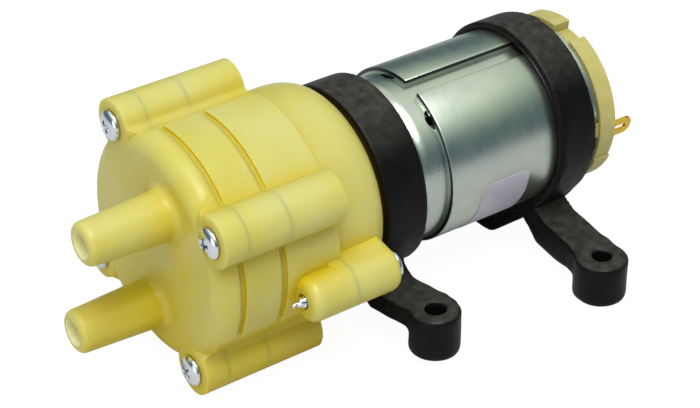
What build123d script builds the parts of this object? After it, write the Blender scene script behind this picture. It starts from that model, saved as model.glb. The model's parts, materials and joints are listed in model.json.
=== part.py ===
from build123d import *
import math
import os

# Miniature three-chamber diaphragm water pump on two rubber mounts, in millimetres.
# X runs along the pump axis from the hose ports to the motor terminals and Z is up.
# The origin lies on the floor, midway between the four foot holes.
# Pieces of the pump are drawn about their own axis and then turned and lifted by seat().
# A clock angle is measured about the pump axis, from straight up towards the near side, -Y.

# Rubber mounts
FOOT_PITCH = 34.8
FOOT_SPREAD = 47.4
AXIS_HEIGHT = 22.8
PUMP_ROLL = 14.0
FRONT_BAND_WIDTH = 7.9
REAR_BAND_WIDTH = 7.1
FRONT_BAND_WALL = 2.05
REAR_BAND_WALL = 1.75
BAND_SHIFT = 0.5
FOOT_R = 4.2
FOOT_HEIGHT = 8.0
FOOT_HOLE_R = 1.7
FOOT_EDGE = 1.0
FOOT_TOP_EDGE = 0.4
LEG_THICK = 4.2
LEG_ROOT_INNER = 6.4
LEG_ROOT_OUTER = 9.9
LEG_SPLAY = 3.0
KNEE_R = 2.0

# Motor can and flux ring
CAN_R = 13.85
CAN_WALL = 0.8
CAN_FACE = 1.0
CAN_LENGTH = 37.8
CAN_SHOULDER = 1.9
NOSE_R = 5.0
NOSE_LENGTH = 1.6
COLLAR_WALL = 1.0
PIERCE_R = 2.2
PIERCE_X = 7.4
PIERCE_CLOCK = 25.0
FLUX_WALL = 1.1
FLUX_START = 6.1
FLUX_LENGTH = 26.0
FLUX_GAP_ANGLE = 12.3
MOTOR_SCREW_PITCH = 16.0
MOTOR_SCREW_R = 1.25
MOTOR_SCREW_LENGTH = 5.0
MOTOR_SCREW_HEAD_R = 2.2
MOTOR_SCREW_HEAD = 1.7

# Label on the flux ring
LABEL_START = 6.2
LABEL_LENGTH = 9.8
LABEL_CLOCK = 108.0
LABEL_ANGLE = 57.0
LABEL_THICK = 0.12

# Magnets
MAGNET_WALL = 2.2
MAGNET_START = 5.0
MAGNET_LENGTH = 24.0
MAGNET_GAP_CLOCK = 28.0
SPRING_WIRE_R = 0.5
SPRING_INSET = 2.0

# Shaft, bearings and armature
SHAFT_R = 1.15
RUNNING_GAP = 0.03
BUSH_WALL = 1.45
FRONT_BUSH_LENGTH = 4.0
REAR_BUSH_LENGTH = 4.4
WASHER_R = 2.4
WASHER_THICK = 0.5
END_PLAY = 0.2
AIR_GAP = 0.45
CORE_START = 9.0
CORE_LENGTH = 16.0
CORE_HUB_R = 4.2
STEM_WIDTH = 4.4
SHOE_WALL = 1.8
SLOT_OPENING = 2.2
POLES = 3
COIL_OVERHANG = 2.5
COIL_SIDE = 1.5
COIL_GAP = 0.05
COMMUTATOR_START = 28.8
COMMUTATOR_LENGTH = 6.0
COMMUTATOR_R = 3.1
SEGMENT_WALL = 0.7
SEGMENT_GAP = 0.5

# Brush gear and terminals
BRUSH_GAP = 0.05
BRUSH_HEIGHT = 1.5
BRUSH_WIDTH = 2.4
BRUSH_LENGTH = 2.2
BRUSH_X = 31.8
ARM_SHEET = 0.3
TERMINAL_INSET = 1.55
TERMINAL_SHEET = 0.5
TERMINAL_WIDTH = 3.4
TERMINAL_START = 33.5
TERMINAL_REACH = 6.4
TERMINAL_END_R = 1.4
TERMINAL_EYE_R = 0.55
TERMINAL_EYE_LENGTH = 2.6

# End bell
BELL_R = 14.35
BELL_RIM = 3.25
BELL_WALL = 1.8
BELL_RECESS = 1.9
BELL_PLUG = 2.0
BELL_FIT = 0.05
BELL_HUB_R = 4.6
BELL_HUB_PROUD = 0.4
BELL_NOTCH_ANGLE = 16.0
BELL_NOTCH_DEPTH = 1.2
BELL_BLOCK_STEP = 0.4
BELL_BLOCK_ANGLE = 31.0
BELL_BLOCK_CLOCKS = (-23.5, 115.0)
KEY_CLOCK = 75.0
KEY_WIDTH = 2.8
KEY_LENGTH = 2.6

# Pump head layers, front to rear
HEAD_R = 19.0
COVER_LENGTH = 4.1
PLATE_LENGTH = 7.4
FRAME_LENGTH = 10.1
CRANK_LENGTH = 10.45
NECK_LENGTH = 8.5
HEAD_WALL = 1.8
RAISED_CLOCK = 40.0
RAISED_ANGLE = 126.0
RAISED_HEIGHT = 0.5
GROOVE_WIDTH = 1.2
COVER_EDGE = 3.1
COVER_FRONT_WALL = 1.9
BOSS_STAND = 0.8
BOSS_R = 4.2
BOSS_BLEND = 1.4
BOSS_FRONT_EDGE = 1.4
BOSS_END_EDGE = 0.6
CRANK_STEP = 1.1
CRANK_BACK_STEP = 2.1
CRANK_SHOULDER = 5.0
CRANK_BEND = 70.0
PROFILE_STEPS = 6
NECK_WALL = 2.4
NECK_FLOOR = 2.5
NECK_GAP = 0.05
EAR_CLOCK = 87.0
EAR_STAND = 1.8
EAR_R = 3.7
EAR_FRONT = 7.9
EAR_REAR = 8.6
EAR_EDGE = 1.5
WEB_LENGTH = 2.6
WEB_EDGE = 0.9

# Hose ports
PORT_PITCH = 19.1
PORT_SIDE = 2.0
PORT_DROP = 0.4
PORT_LENGTH = 14.4
PORT_TIP_R = 3.5
PORT_BASE_R = 4.15
PORT_TIP_EDGE = 1.0
PORT_BASE_EDGE = 1.4
PORT_BORE_R = 2.1

# Screws of the head
SCREW_R = 1.3
SCREW_CLEARANCE = 0.1
SCREW_HEAD_R = 2.5
SCREW_HEAD = 1.3
SCREW_HEAD_EDGE = 0.8
COVER_SCREW_LENGTH = 20.0
EAR_SCREW_PROUD = 2.0

# Chambers and valves
CHAMBERS = 3
CHAMBER_CIRCLE = 9.3
CHAMBER_R = 5.4
CHAMBER_DEPTH = 1.2
MANIFOLD_INSET = 3.2
OUTLET_R = 6.0
OUTLET_PORT_R = 3.3
DIVIDER_WALL = 1.2
GASKET_INSET = 1.7
GASKET_THICK = 1.0
WINDOW_R = 2.9
INLET_CIRCLE = 10.6
INLET_HOLE_CIRCLE = 1.9
INLET_HOLE_R = 0.6
OUTLET_HOLE_CIRCLE = 4.7
OUTLET_HOLE_R = 0.7
VALVE_STEM_R = 0.8
VALVE_THICK = 0.6
VALVE_TIP = 0.8
INLET_VALVE_R = 2.8
OUTLET_VALVE_R = 5.7

# Diaphragm
DIAPHRAGM_THICK = 1.2
CUP_R = 5.5
CUP_WALL = 0.7
CUP_FLOOR_R = 4.0
CUP_FLOOR_THICK = 1.2
CUP_POCKET_GAP = 0.5
DECK_THICK = 3.6
NIPPLE_R = 1.0
BUTTON_R = 1.9
BUTTON_THICK = 1.2

# Wobble drive
WOBBLE_TILT = 6.5
PIVOT_BEHIND_JOINT = 7.8
ARM_THICK = 1.8
ARM_END_R = 2.7
ARM_HOLE_R = 1.4
ARM_GAP = 0.35
PAD_R = 2.2
PAD_THICK = 0.5
RIB_THICK = 1.2
RIB_REACH = 6.6
RIB_HEIGHT = 4.5
HUB_R = 3.4
HUB_LENGTH = 7.8
PIN_R = 1.0
WHEEL_R = 6.5
WHEEL_LENGTH = 4.4
WHEEL_BOSS = 3.4
WHEEL_CLEAR = 3.15
CUT = 1.0

# Places along the axis
front_band_x = -FOOT_PITCH / 2
rear_band_x = FOOT_PITCH / 2
motor_face_x = front_band_x + FRONT_BAND_WIDTH / 2
can_rear_x = motor_face_x + CAN_LENGTH
bell_rear_x = can_rear_x + BELL_RIM
bell_floor_x = bell_rear_x - BELL_RECESS
bell_plug_x = can_rear_x - BELL_PLUG
shoulder_x = motor_face_x - NECK_LENGTH
neck_floor_x = motor_face_x - NECK_FLOOR
parting_x = shoulder_x - CRANK_LENGTH
frame_joint_x = parting_x - FRAME_LENGTH
cover_joint_x = frame_joint_x - PLATE_LENGTH
cover_face_x = cover_joint_x - COVER_LENGTH
manifold_floor_x = cover_face_x + COVER_FRONT_WALL
port_tip_x = cover_face_x - PORT_LENGTH
gasket_rear_x = cover_joint_x + GASKET_THICK
chamber_roof_x = frame_joint_x - CHAMBER_DEPTH
flange_rear_x = frame_joint_x + DIAPHRAGM_THICK
deck_rear_x = flange_rear_x + DECK_THICK
pivot_x = frame_joint_x + PIVOT_BEHIND_JOINT
ear_front_x = parting_x - EAR_FRONT
ear_rear_x = parting_x + EAR_REAR
wheel_rear_x = motor_face_x - NOSE_LENGTH - WHEEL_CLEAR
wheel_front_x = wheel_rear_x - WHEEL_LENGTH
shaft_front_x = wheel_front_x + CUT

# Radii that follow from others
can_inner_r = CAN_R - CAN_WALL
flux_r = CAN_R + FLUX_WALL
magnet_inner_r = can_inner_r - MAGNET_WALL
core_r = magnet_inner_r - AIR_GAP
bush_r = SHAFT_R + RUNNING_GAP + BUSH_WALL
hole_r = SCREW_R + SCREW_CLEARANCE
head_core_r = HEAD_R - RAISED_HEIGHT
boss_circle = HEAD_R + BOSS_STAND
ear_reach = HEAD_R + EAR_STAND
crank_r = HEAD_R - CRANK_STEP
crank_back_r = crank_r - CRANK_BACK_STEP
manifold_r = HEAD_R - MANIFOLD_INSET
gasket_r = HEAD_R - GASKET_INSET
bell_block_r = BELL_R + BELL_BLOCK_STEP
terminal_side = can_inner_r - TERMINAL_INSET
port_side_y = -PORT_SIDE
outlet_port_z = PORT_PITCH / 2 - PORT_DROP
inlet_port_z = -PORT_PITCH / 2 - PORT_DROP
port_heights = [outlet_port_z, inlet_port_z]
boss_clocks = [45 + 90 * k for k in range(4)]
raised_clocks = [RAISED_CLOCK, RAISED_CLOCK - 180]
ear_clocks = [EAR_CLOCK, EAR_CLOCK - 180]
side_clocks = [90, -90]
outlet_clock = math.degrees(math.atan2(-port_side_y, outlet_port_z))
chamber_clocks = [outlet_clock + 180 + 360 / CHAMBERS * k for k in range(CHAMBERS)]


def clock(radius, angle):
    """The (y, z) place at a radius and a clock angle about the pump axis."""
    a = math.radians(angle)
    return -radius * math.sin(a), radius * math.cos(a)


def rod(x0, x1, radius, centre=(0.0, 0.0)):
    """A round bar along X."""
    y, z = centre
    return Pos((x0 + x1) / 2, y, z) * Rot(0, 90, 0) * Cylinder(radius, x1 - x0)


def ring(x0, x1, inner, outer):
    """A tube about the pump axis."""
    return rod(x0, x1, outer) - rod(x0 - CUT, x1 + CUT, inner)


def bar(x0, x1, y0, y1, z0, z1):
    """A box between two corners."""
    return Pos((x0 + x1) / 2, (y0 + y1) / 2, (z0 + z1) / 2) * Box(x1 - x0, y1 - y0, z1 - z0)


def lathe(points, rounded=(), radius=0.0, centre=(0.0, 0.0)):
    """A solid turned from (x, radius) corners; the numbered corners are rounded first."""
    face = make_face(Polyline(*points, close=True))
    if rounded:
        near = [min(face.vertices(), key=lambda v, p=points[i]: math.dist((v.X, v.Y), p)) for i in rounded]
        face = fillet(near, radius)
    y, z = centre
    return Pos(0, y, z) * revolve(face, Axis.X)


def slab(sketch, x0, x1):
    """A section in Y and Z, drawn out along X."""
    return extrude(Plane.YZ.offset(x0) * sketch, amount=x1 - x0)


def wedge(x0, x1, middle, angle, radius):
    """A slice of a disc, centred on a clock angle."""
    half = math.radians(angle / 2)
    reach = radius / math.cos(half)
    points = [(0, 0), (-reach * math.sin(half), reach * math.cos(half)),
              (reach * math.sin(half), reach * math.cos(half))]
    return Rot(middle, 0, 0) * slab(make_face(Polyline(*points, close=True)), x0, x1)


def group(shapes):
    """Several separate solids in one piece file."""
    return Compound([solid for shape in shapes for solid in shape.solids()])


def seat(shape):
    """Turns a pump piece in its rubber bands and lifts it to the axis height."""
    return Pos(0, 0, AXIS_HEIGHT) * Rot(PUMP_ROLL, 0, 0) * shape


def tilted(shape):
    """Carries a piece drawn about X onto the tilted pin axis, with its origin at the pivot."""
    return Pos(pivot_x, 0, 0) * Rot(0, WOBBLE_TILT, 0) * shape


# Pump head

def head_section():
    """The round core of the head with its four screw bosses, blended in."""
    centres = [clock(boss_circle, c) for c in boss_clocks]
    outline = Circle(head_core_r)
    for y, z in centres:
        outline += Pos(y, z) * Circle(BOSS_R)

    def is_corner(v):
        on_core = abs(math.hypot(v.X, v.Y) - head_core_r) < 1e-3
        return on_core and min(abs(math.dist((v.X, v.Y), c) - BOSS_R) for c in centres) < 1e-3

    return fillet([v for v in outline.vertices() if is_corner(v)], BOSS_BLEND)


def raised_bands(x0, x1):
    """The two raised arcs round one layer of the head, which stop short of two of the bosses."""
    hoop = ring(x0, x1, head_core_r - RAISED_HEIGHT, HEAD_R)
    return [hoop & wedge(x0 - CUT, x1 + CUT, c, RAISED_ANGLE, 2 * HEAD_R) for c in raised_clocks]


def screw_holes(x0, x1, radius):
    """The four corner screw holes."""
    return [rod(x0, x1, radius, clock(boss_circle, c)) for c in boss_clocks]


def outlet_section(grow=0.0):
    """The outlet chamber in the middle of the head, drawn out to the upper port."""
    middle = Circle(OUTLET_R + grow)
    at_port = Pos(port_side_y, outlet_port_z) * Circle(OUTLET_PORT_R + grow)
    return make_hull(middle.edges() + at_port.edges())


def port(up):
    """One tapered hose port, drawn in place."""
    tip, base = port_tip_x, cover_face_x + CUT
    points = [(tip, 0), (tip, PORT_TIP_R), (base, PORT_BASE_R), (base, 0)]
    return lathe(points, rounded=[1], radius=PORT_TIP_EDGE, centre=(port_side_y, up))


def boss_form(end_x, back_x, rounding, angle):
    """The form that one boss and its blend stay within: rounded at its end and wider behind it."""
    flare_x = end_x + math.copysign(COVER_EDGE, back_x - end_x)
    flare_r = BOSS_R + COVER_EDGE
    points = [(end_x, 0), (end_x, BOSS_R), (flare_x, flare_r), (back_x, flare_r), (back_x, 0)]
    return lathe(points, rounded=[1], radius=rounding, centre=clock(boss_circle, angle))


def cover_envelope():
    """The form that the rounded front edges of the cover and of its bosses stay within."""
    face, back = cover_face_x, cover_joint_x + CUT
    form = lathe([(face, 0), (face, HEAD_R), (back, HEAD_R), (back, 0)], rounded=[1], radius=COVER_EDGE)
    for c in boss_clocks:
        form += boss_form(face, back, BOSS_FRONT_EDGE, c)
    return form


def front_cover():
    body = slab(head_section(), cover_face_x, cover_joint_x)
    for band in raised_bands(cover_face_x, cover_joint_x - GROOVE_WIDTH / 2):
        body += band
    body &= cover_envelope()
    for up in port_heights:
        body += port(up)
    roots = [e for e in body.edges().filter_by(GeomType.CIRCLE)
             if abs(e.arc_center.X - cover_face_x) < 0.01 and e.radius < PORT_BASE_R + 0.1
             and abs(e.arc_center.Y - port_side_y) < 0.01]
    body = fillet(roots, PORT_BASE_EDGE)
    inlet = Circle(manifold_r) - outlet_section(DIVIDER_WALL)
    body -= slab(inlet, manifold_floor_x, cover_joint_x + CUT)
    body -= slab(outlet_section(), manifold_floor_x, cover_joint_x + CUT)
    for up in port_heights:
        body -= rod(port_tip_x - CUT, manifold_floor_x + CUT, PORT_BORE_R, (port_side_y, up))
    for hole in screw_holes(cover_face_x - CUT, cover_joint_x + CUT, hole_r):
        body -= hole
    return body


def inlet_centre(angle):
    return clock(INLET_CIRCLE, angle)


def cover_gasket():
    """A flat seal with a window over each inlet valve and one over the outlet chamber."""
    sheet = Circle(gasket_r) - outlet_section()
    for c in chamber_clocks:
        y, z = inlet_centre(c)
        sheet -= Pos(y, z) * Circle(WINDOW_R)
    return slab(sheet, cover_joint_x, gasket_rear_x)


def valve_plate():
    body = slab(head_section(), cover_joint_x, frame_joint_x)
    for band in raised_bands(cover_joint_x + GROOVE_WIDTH / 2, frame_joint_x - GROOVE_WIDTH / 2):
        body += band
    body -= rod(cover_joint_x - CUT, gasket_rear_x, gasket_r)
    body -= rod(gasket_rear_x - CUT, chamber_roof_x + CUT, VALVE_STEM_R)
    for c in chamber_clocks:
        body -= rod(chamber_roof_x, frame_joint_x + CUT, CHAMBER_R, clock(CHAMBER_CIRCLE, c))
        y, z = inlet_centre(c)
        body -= rod(gasket_rear_x - CUT, chamber_roof_x + CUT, VALVE_STEM_R, (y, z))
        for k in range(4):
            dy, dz = clock(INLET_HOLE_CIRCLE, c + 45 + 90 * k)
            body -= rod(gasket_rear_x - CUT, chamber_roof_x + CUT, INLET_HOLE_R, (y + dy, z + dz))
        body -= rod(gasket_rear_x - CUT, chamber_roof_x + CUT, OUTLET_HOLE_R, clock(OUTLET_HOLE_CIRCLE, c))
    for hole in screw_holes(cover_joint_x - CUT, frame_joint_x + CUT, hole_r):
        body -= hole
    return body


def umbrella(face_x, tip_x, disc_r, centre):
    """An umbrella valve: a thin disc on one face of the plate and a stem through to the other."""
    side = math.copysign(1.0, face_x - tip_x)
    disc_x = face_x + side * VALVE_THICK
    end_x = tip_x - side * VALVE_TIP
    points = [(disc_x, 0), (disc_x, disc_r / 2), (face_x, disc_r), (face_x, VALVE_STEM_R),
              (end_x, VALVE_STEM_R / 2), (end_x, 0)]
    return lathe(points, centre=centre)


def inlet_valves():
    valves = [umbrella(chamber_roof_x, gasket_rear_x, INLET_VALVE_R, inlet_centre(c)) for c in chamber_clocks]
    return group(valves)


def outlet_valve():
    return umbrella(gasket_rear_x, frame_joint_x - VALVE_TIP - CUT, OUTLET_VALVE_R, (0.0, 0.0))


def ear_boss(free_x):
    """The round boss of one half of a side ear, drawn above the axis."""
    return rod(min(free_x, parting_x), max(free_x, parting_x), EAR_R, (0, ear_reach))


def ear_web(end_x):
    """What joins the boss of a side ear to the wall."""
    root = crank_back_r - HEAD_WALL
    return bar(min(end_x, parting_x), max(end_x, parting_x), -EAR_R, EAR_R, root, ear_reach)


def end_edges(shape, x):
    return shape.edges().filter_by_position(Axis.X, x - 0.01, x + 0.01)


def front_ear(angle):
    """The front half of a side ear: a boss with a rounded free end and a short web."""
    web_x = parting_x - WEB_LENGTH
    boss = ear_boss(ear_front_x)
    web = ear_web(web_x)
    half = fillet(end_edges(boss, ear_front_x), EAR_EDGE)
    half += fillet(end_edges(web, web_x).filter_by(Axis.Z), WEB_EDGE)
    return Rot(angle, 0, 0) * half


def rear_ear(angle):
    """The rear half of a side ear, whose web is as long as its boss."""
    half = ear_boss(ear_rear_x) + ear_web(ear_rear_x)
    return Rot(angle, 0, 0) * fillet(end_edges(half, ear_rear_x), EAR_EDGE)


def frame_envelope():
    """The form that the rounded rear ends of the bosses stay within."""
    front = frame_joint_x - CUT
    form = rod(front, parting_x, HEAD_R)
    for c in boss_clocks:
        form += boss_form(parting_x, front, BOSS_END_EDGE, c)
    return form


def diaphragm_frame():
    body = slab(head_section(), frame_joint_x, parting_x)
    body &= frame_envelope()
    for band in raised_bands(frame_joint_x + GROOVE_WIDTH / 2, parting_x):
        body += band
    for c in ear_clocks:
        body += front_ear(c)
    body -= rod(frame_joint_x - CUT, flange_rear_x, gasket_r)
    body -= rod(deck_rear_x, parting_x + CUT, crank_r - HEAD_WALL)
    for c in chamber_clocks:
        pocket_r = CUP_R + CUP_WALL + CUP_POCKET_GAP
        body -= rod(flange_rear_x - CUT, deck_rear_x + CUT, pocket_r, clock(CHAMBER_CIRCLE, c))
    screw_end_x = cover_face_x + COVER_SCREW_LENGTH
    for hole in screw_holes(frame_joint_x - CUT, screw_end_x, SCREW_R):
        body -= hole
    for c in ear_clocks:
        body -= rod(ear_front_x - CUT, parting_x + CUT, SCREW_R, clock(ear_reach, c))
    return body


def crank_profile(inset):
    """The rounded shoulder of the crank housing as (x, radius) points, from its bend to its back."""
    bend_x = shoulder_x - CRANK_SHOULDER
    full = math.radians(CRANK_BEND)
    points = []
    for k in range(PROFILE_STEPS + 1):
        a = full * k / PROFILE_STEPS
        along = math.sin(a) / math.sin(full)
        inward = (1 - math.cos(a)) / (1 - math.cos(full))
        radius = crank_r - (crank_r - crank_back_r) * inward
        points.append((bend_x + CRANK_SHOULDER * along, radius - inset))
    return points


def crank_shell(inset, back_x):
    """The closed outer or inner form of the crank housing."""
    side = Spline(*crank_profile(inset))
    start, end = side @ 0, side @ 1
    edges = [Line((parting_x, 0), (parting_x, start.Y)), Line((parting_x, start.Y), start), side,
             Line(end, (back_x, end.Y)), Line((back_x, end.Y), (back_x, 0)),
             Line((back_x, 0), (parting_x, 0))]
    return revolve(make_face(Curve() + edges), Axis.X)


def crank_housing():
    body = crank_shell(0.0, shoulder_x + NECK_GAP)
    body += rod(shoulder_x - CUT, motor_face_x, CAN_R)
    for c in ear_clocks:
        body += rear_ear(c)
    body -= crank_shell(HEAD_WALL, shoulder_x - HEAD_WALL)
    body -= rod(parting_x, neck_floor_x, CAN_R - NECK_WALL)
    body -= rod(neck_floor_x - CUT, motor_face_x + CUT, NOSE_R + NECK_GAP)
    for c in ear_clocks:
        body -= rod(parting_x - CUT, ear_rear_x + CUT, hole_r, clock(ear_reach, c))
    for c in side_clocks:
        body -= rod(neck_floor_x - CUT, motor_face_x + CUT, MOTOR_SCREW_R + SCREW_CLEARANCE,
                    clock(MOTOR_SCREW_PITCH / 2, c))
    return body


def screw(seat_x, tip_x, shank_r, head_r, head, centre):
    """A pan-head screw along X, from the seat of its head to its tip."""
    side = math.copysign(1.0, seat_x - tip_x)
    top_x = seat_x + side * head
    points = [(top_x, 0), (top_x, head_r), (seat_x, head_r), (seat_x, shank_r), (tip_x, shank_r),
              (tip_x, 0)]
    return lathe(points, rounded=[1], radius=SCREW_HEAD_EDGE, centre=centre)


def cover_screws():
    tip_x = cover_face_x + COVER_SCREW_LENGTH
    places = [clock(boss_circle, c) for c in boss_clocks]
    return group([screw(cover_face_x, tip_x, SCREW_R, SCREW_HEAD_R, SCREW_HEAD, p) for p in places])


def ear_screws():
    tip_x = ear_front_x - EAR_SCREW_PROUD
    places = [clock(ear_reach, c) for c in ear_clocks]
    return group([screw(ear_rear_x, tip_x, SCREW_R, SCREW_HEAD_R, SCREW_HEAD, p) for p in places])


def motor_screws():
    tip_x = neck_floor_x + MOTOR_SCREW_LENGTH
    places = [clock(MOTOR_SCREW_PITCH / 2, c) for c in side_clocks]
    return group([screw(neck_floor_x, tip_x, MOTOR_SCREW_R, MOTOR_SCREW_HEAD_R, MOTOR_SCREW_HEAD, p)
                  for p in places])


# Diaphragm and wobble drive

def tilt_shift(angle):
    """How far the tilted plate stands off its middle plane at one chamber."""
    return clock(CHAMBER_CIRCLE, angle)[1] * math.tan(math.radians(WOBBLE_TILT))


def cup(angle):
    """One cup of the diaphragm, with the nipple that the wobble plate holds."""
    plate_x = pivot_x + tilt_shift(angle)
    pad_rear = plate_x - ARM_THICK / 2 - ARM_GAP
    floor_rear = pad_rear - PAD_THICK
    floor_front = floor_rear - CUP_FLOOR_THICK
    button_front = plate_x + ARM_THICK / 2 + ARM_GAP
    button_rear = button_front + BUTTON_THICK
    points = [(frame_joint_x, CUP_R), (floor_front, CUP_FLOOR_R), (floor_front, 0), (button_rear, 0),
              (button_rear, NIPPLE_R), (button_front, BUTTON_R), (button_front, NIPPLE_R),
              (pad_rear, NIPPLE_R), (pad_rear, PAD_R), (floor_rear, PAD_R),
              (floor_rear, CUP_FLOOR_R + CUP_WALL), (flange_rear_x, CUP_R + CUP_WALL),
              (frame_joint_x, CUP_R + CUP_WALL)]
    return lathe(points, centre=clock(CHAMBER_CIRCLE, angle))


def diaphragm():
    body = rod(frame_joint_x, flange_rear_x, gasket_r)
    for c in chamber_clocks:
        body -= rod(frame_joint_x - CUT, flange_rear_x + CUT, CUP_R + CUP_WALL / 2, clock(CHAMBER_CIRCLE, c))
    for c in chamber_clocks:
        body += cup(c)
    return body


def wobble_plate():
    """The three-armed plate that turns the pin's swing into strokes of the cups."""
    spider = Circle(HUB_R)
    for c in chamber_clocks:
        end = Pos(*clock(CHAMBER_CIRCLE, c)) * Circle(ARM_END_R)
        spider += make_hull(Circle(HUB_R).edges() + end.edges())
    for c in chamber_clocks:
        spider -= Pos(*clock(CHAMBER_CIRCLE, c)) * Circle(ARM_HOLE_R)
    body = slab(spider, -ARM_THICK / 2, ARM_THICK / 2)
    body += rod(0, HUB_LENGTH, HUB_R)
    top = ARM_THICK / 2
    rib = [(0, 0), (RIB_REACH, 0), (RIB_REACH, top), (HUB_R, top + RIB_HEIGHT), (0, top + RIB_HEIGHT)]
    face = make_face(Polyline(*[(x, r) for r, x in rib], close=True))
    for c in chamber_clocks:
        web = extrude(Plane.XZ.offset(-RIB_THICK / 2) * face, amount=RIB_THICK)
        body += Rot(c, 0, 0) * web
    body -= rod(0, HUB_LENGTH + CUT, PIN_R + RUNNING_GAP)
    return tilted(body)


def pin_end():
    """Distance along the pin axis from the pivot to the pin's seat in the wheel."""
    return (wheel_front_x - pivot_x) / math.cos(math.radians(WOBBLE_TILT)) + CUT / 2


def wobble_pin():
    return tilted(rod(RUNNING_GAP, pin_end(), PIN_R))


def eccentric_wheel():
    """The wheel on the motor shaft whose tilted boss carries the pin."""
    body = rod(wheel_front_x, wheel_rear_x, WHEEL_R)
    boss = tilted(rod(pin_end() - WHEEL_BOSS, pin_end() + CUT, HUB_R))
    body += boss
    body -= rod(shaft_front_x, wheel_rear_x + CUT, SHAFT_R)
    body -= tilted(rod(pin_end() - WHEEL_BOSS - CUT, pin_end(), PIN_R))
    return body


# Motor

def motor_can():
    points = [(motor_face_x, 0), (motor_face_x, CAN_R), (can_rear_x, CAN_R), (can_rear_x, can_inner_r),
              (motor_face_x + CAN_FACE, can_inner_r), (motor_face_x + CAN_FACE, 0)]
    body = lathe(points, rounded=[1], radius=CAN_SHOULDER)
    inside = [(motor_face_x + CAN_FACE, 0), (motor_face_x + CAN_FACE, can_inner_r),
              (motor_face_x + 2 * CAN_SHOULDER, can_inner_r), (motor_face_x + 2 * CAN_SHOULDER, 0)]
    corner = lathe(inside) - lathe(inside, rounded=[1], radius=CAN_SHOULDER - CAN_WALL)
    body += corner
    body += rod(motor_face_x - NOSE_LENGTH, motor_face_x, NOSE_R)
    body += rod(motor_face_x, front_bush_x() + FRONT_BUSH_LENGTH, bush_r + COLLAR_WALL)
    body -= rod(motor_face_x - NOSE_LENGTH - CUT, motor_face_x + 2 * FRONT_BUSH_LENGTH, bush_r)
    for c in side_clocks:
        body -= rod(motor_face_x - CUT, motor_face_x + CAN_FACE + CUT, MOTOR_SCREW_R,
                    clock(MOTOR_SCREW_PITCH / 2, c))
    for c in (PIERCE_CLOCK, -PIERCE_CLOCK):
        body -= Rot(c, 0, 0) * Pos(motor_face_x + PIERCE_X, 0, 0) * Cylinder(PIERCE_R, 4 * CAN_R)
    for c in (KEY_CLOCK, -KEY_CLOCK):
        body -= Rot(c, 0, 0) * bar(can_rear_x - KEY_LENGTH, can_rear_x + CUT, -KEY_WIDTH / 2,
                                   KEY_WIDTH / 2, can_inner_r - CAN_WALL, CAN_R + CUT)
    return body


def front_bush_x():
    """Front end of the front bearing bush, just inside the nose."""
    return motor_face_x - NOSE_LENGTH + END_PLAY


def rear_bush_x():
    """Front end of the rear bearing bush in the end bell."""
    return bell_rear_x - REAR_BUSH_LENGTH - BELL_HUB_PROUD


def flux_ring():
    x0 = motor_face_x + FLUX_START
    x1 = x0 + FLUX_LENGTH
    return ring(x0, x1, CAN_R, flux_r) - wedge(x0 - CUT, x1 + CUT, 0, FLUX_GAP_ANGLE, 2 * flux_r)


def motor_label():
    x0 = motor_face_x + FLUX_START + LABEL_START
    sheet = ring(x0, x0 + LABEL_LENGTH, flux_r, flux_r + LABEL_THICK)
    return sheet & wedge(x0 - CUT, x0 + LABEL_LENGTH + CUT, LABEL_CLOCK, LABEL_ANGLE, 2 * flux_r)


def magnets():
    x0 = motor_face_x + MAGNET_START
    x1 = x0 + MAGNET_LENGTH
    tube = ring(x0, x1, magnet_inner_r, can_inner_r)
    spread = 180 - 2 * MAGNET_GAP_CLOCK
    return group([tube & wedge(x0 - CUT, x1 + CUT, c, spread, 2 * CAN_R) for c in side_clocks])


def magnet_spring():
    """The bent wire that spreads the magnets' lower ends apart."""
    x0 = motor_face_x + MAGNET_START
    x1 = x0 + MAGNET_LENGTH - SPRING_INSET
    mid_r = (magnet_inner_r + can_inner_r) / 2
    lean = MAGNET_GAP_CLOCK - math.degrees(math.asin(SPRING_WIRE_R / mid_r))
    y, z = clock(mid_r, 180 - lean)
    legs = [rod(x0, x1, SPRING_WIRE_R, (s * abs(y), z)) for s in (-1, 1)]
    bend = Pos(x1, 0, z) * Rot(90, 0, 0) * Cylinder(SPRING_WIRE_R, 2 * abs(y))
    knees = [Pos(x1, s * abs(y), z) * Sphere(SPRING_WIRE_R) for s in (-1, 1)]
    return legs[0] + bend + legs[1] + knees[0] + knees[1]


def bush(x0, length):
    return ring(x0, x0 + length, SHAFT_R + RUNNING_GAP, bush_r)


def motor_shaft():
    return rod(shaft_front_x, bell_rear_x - BELL_HUB_PROUD, SHAFT_R)


def thrust_washers():
    front_x = front_bush_x() + FRONT_BUSH_LENGTH + END_PLAY
    rear_x = rear_bush_x() - END_PLAY - WASHER_THICK
    return group([ring(x, x + WASHER_THICK, SHAFT_R, WASHER_R) for x in (front_x, rear_x)])


def armature_core():
    """Three poles with wide shoes on a common hub."""
    section = Circle(core_r) - Circle(core_r - SHOE_WALL)
    for k in range(POLES):
        opening = Pos(0, core_r) * Rectangle(SLOT_OPENING, 4 * SHOE_WALL)
        section -= Rot(0, 0, 360 / POLES * (k + 0.5)) * opening
    for k in range(POLES):
        stem = Pos(0, core_r / 2) * Rectangle(STEM_WIDTH, core_r - SHOE_WALL)
        section += Rot(0, 0, 360 / POLES * k) * stem
    section += Circle(CORE_HUB_R)
    section -= Circle(SHAFT_R)
    x0 = motor_face_x + CORE_START
    return slab(section, x0, x0 + CORE_LENGTH)


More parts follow.
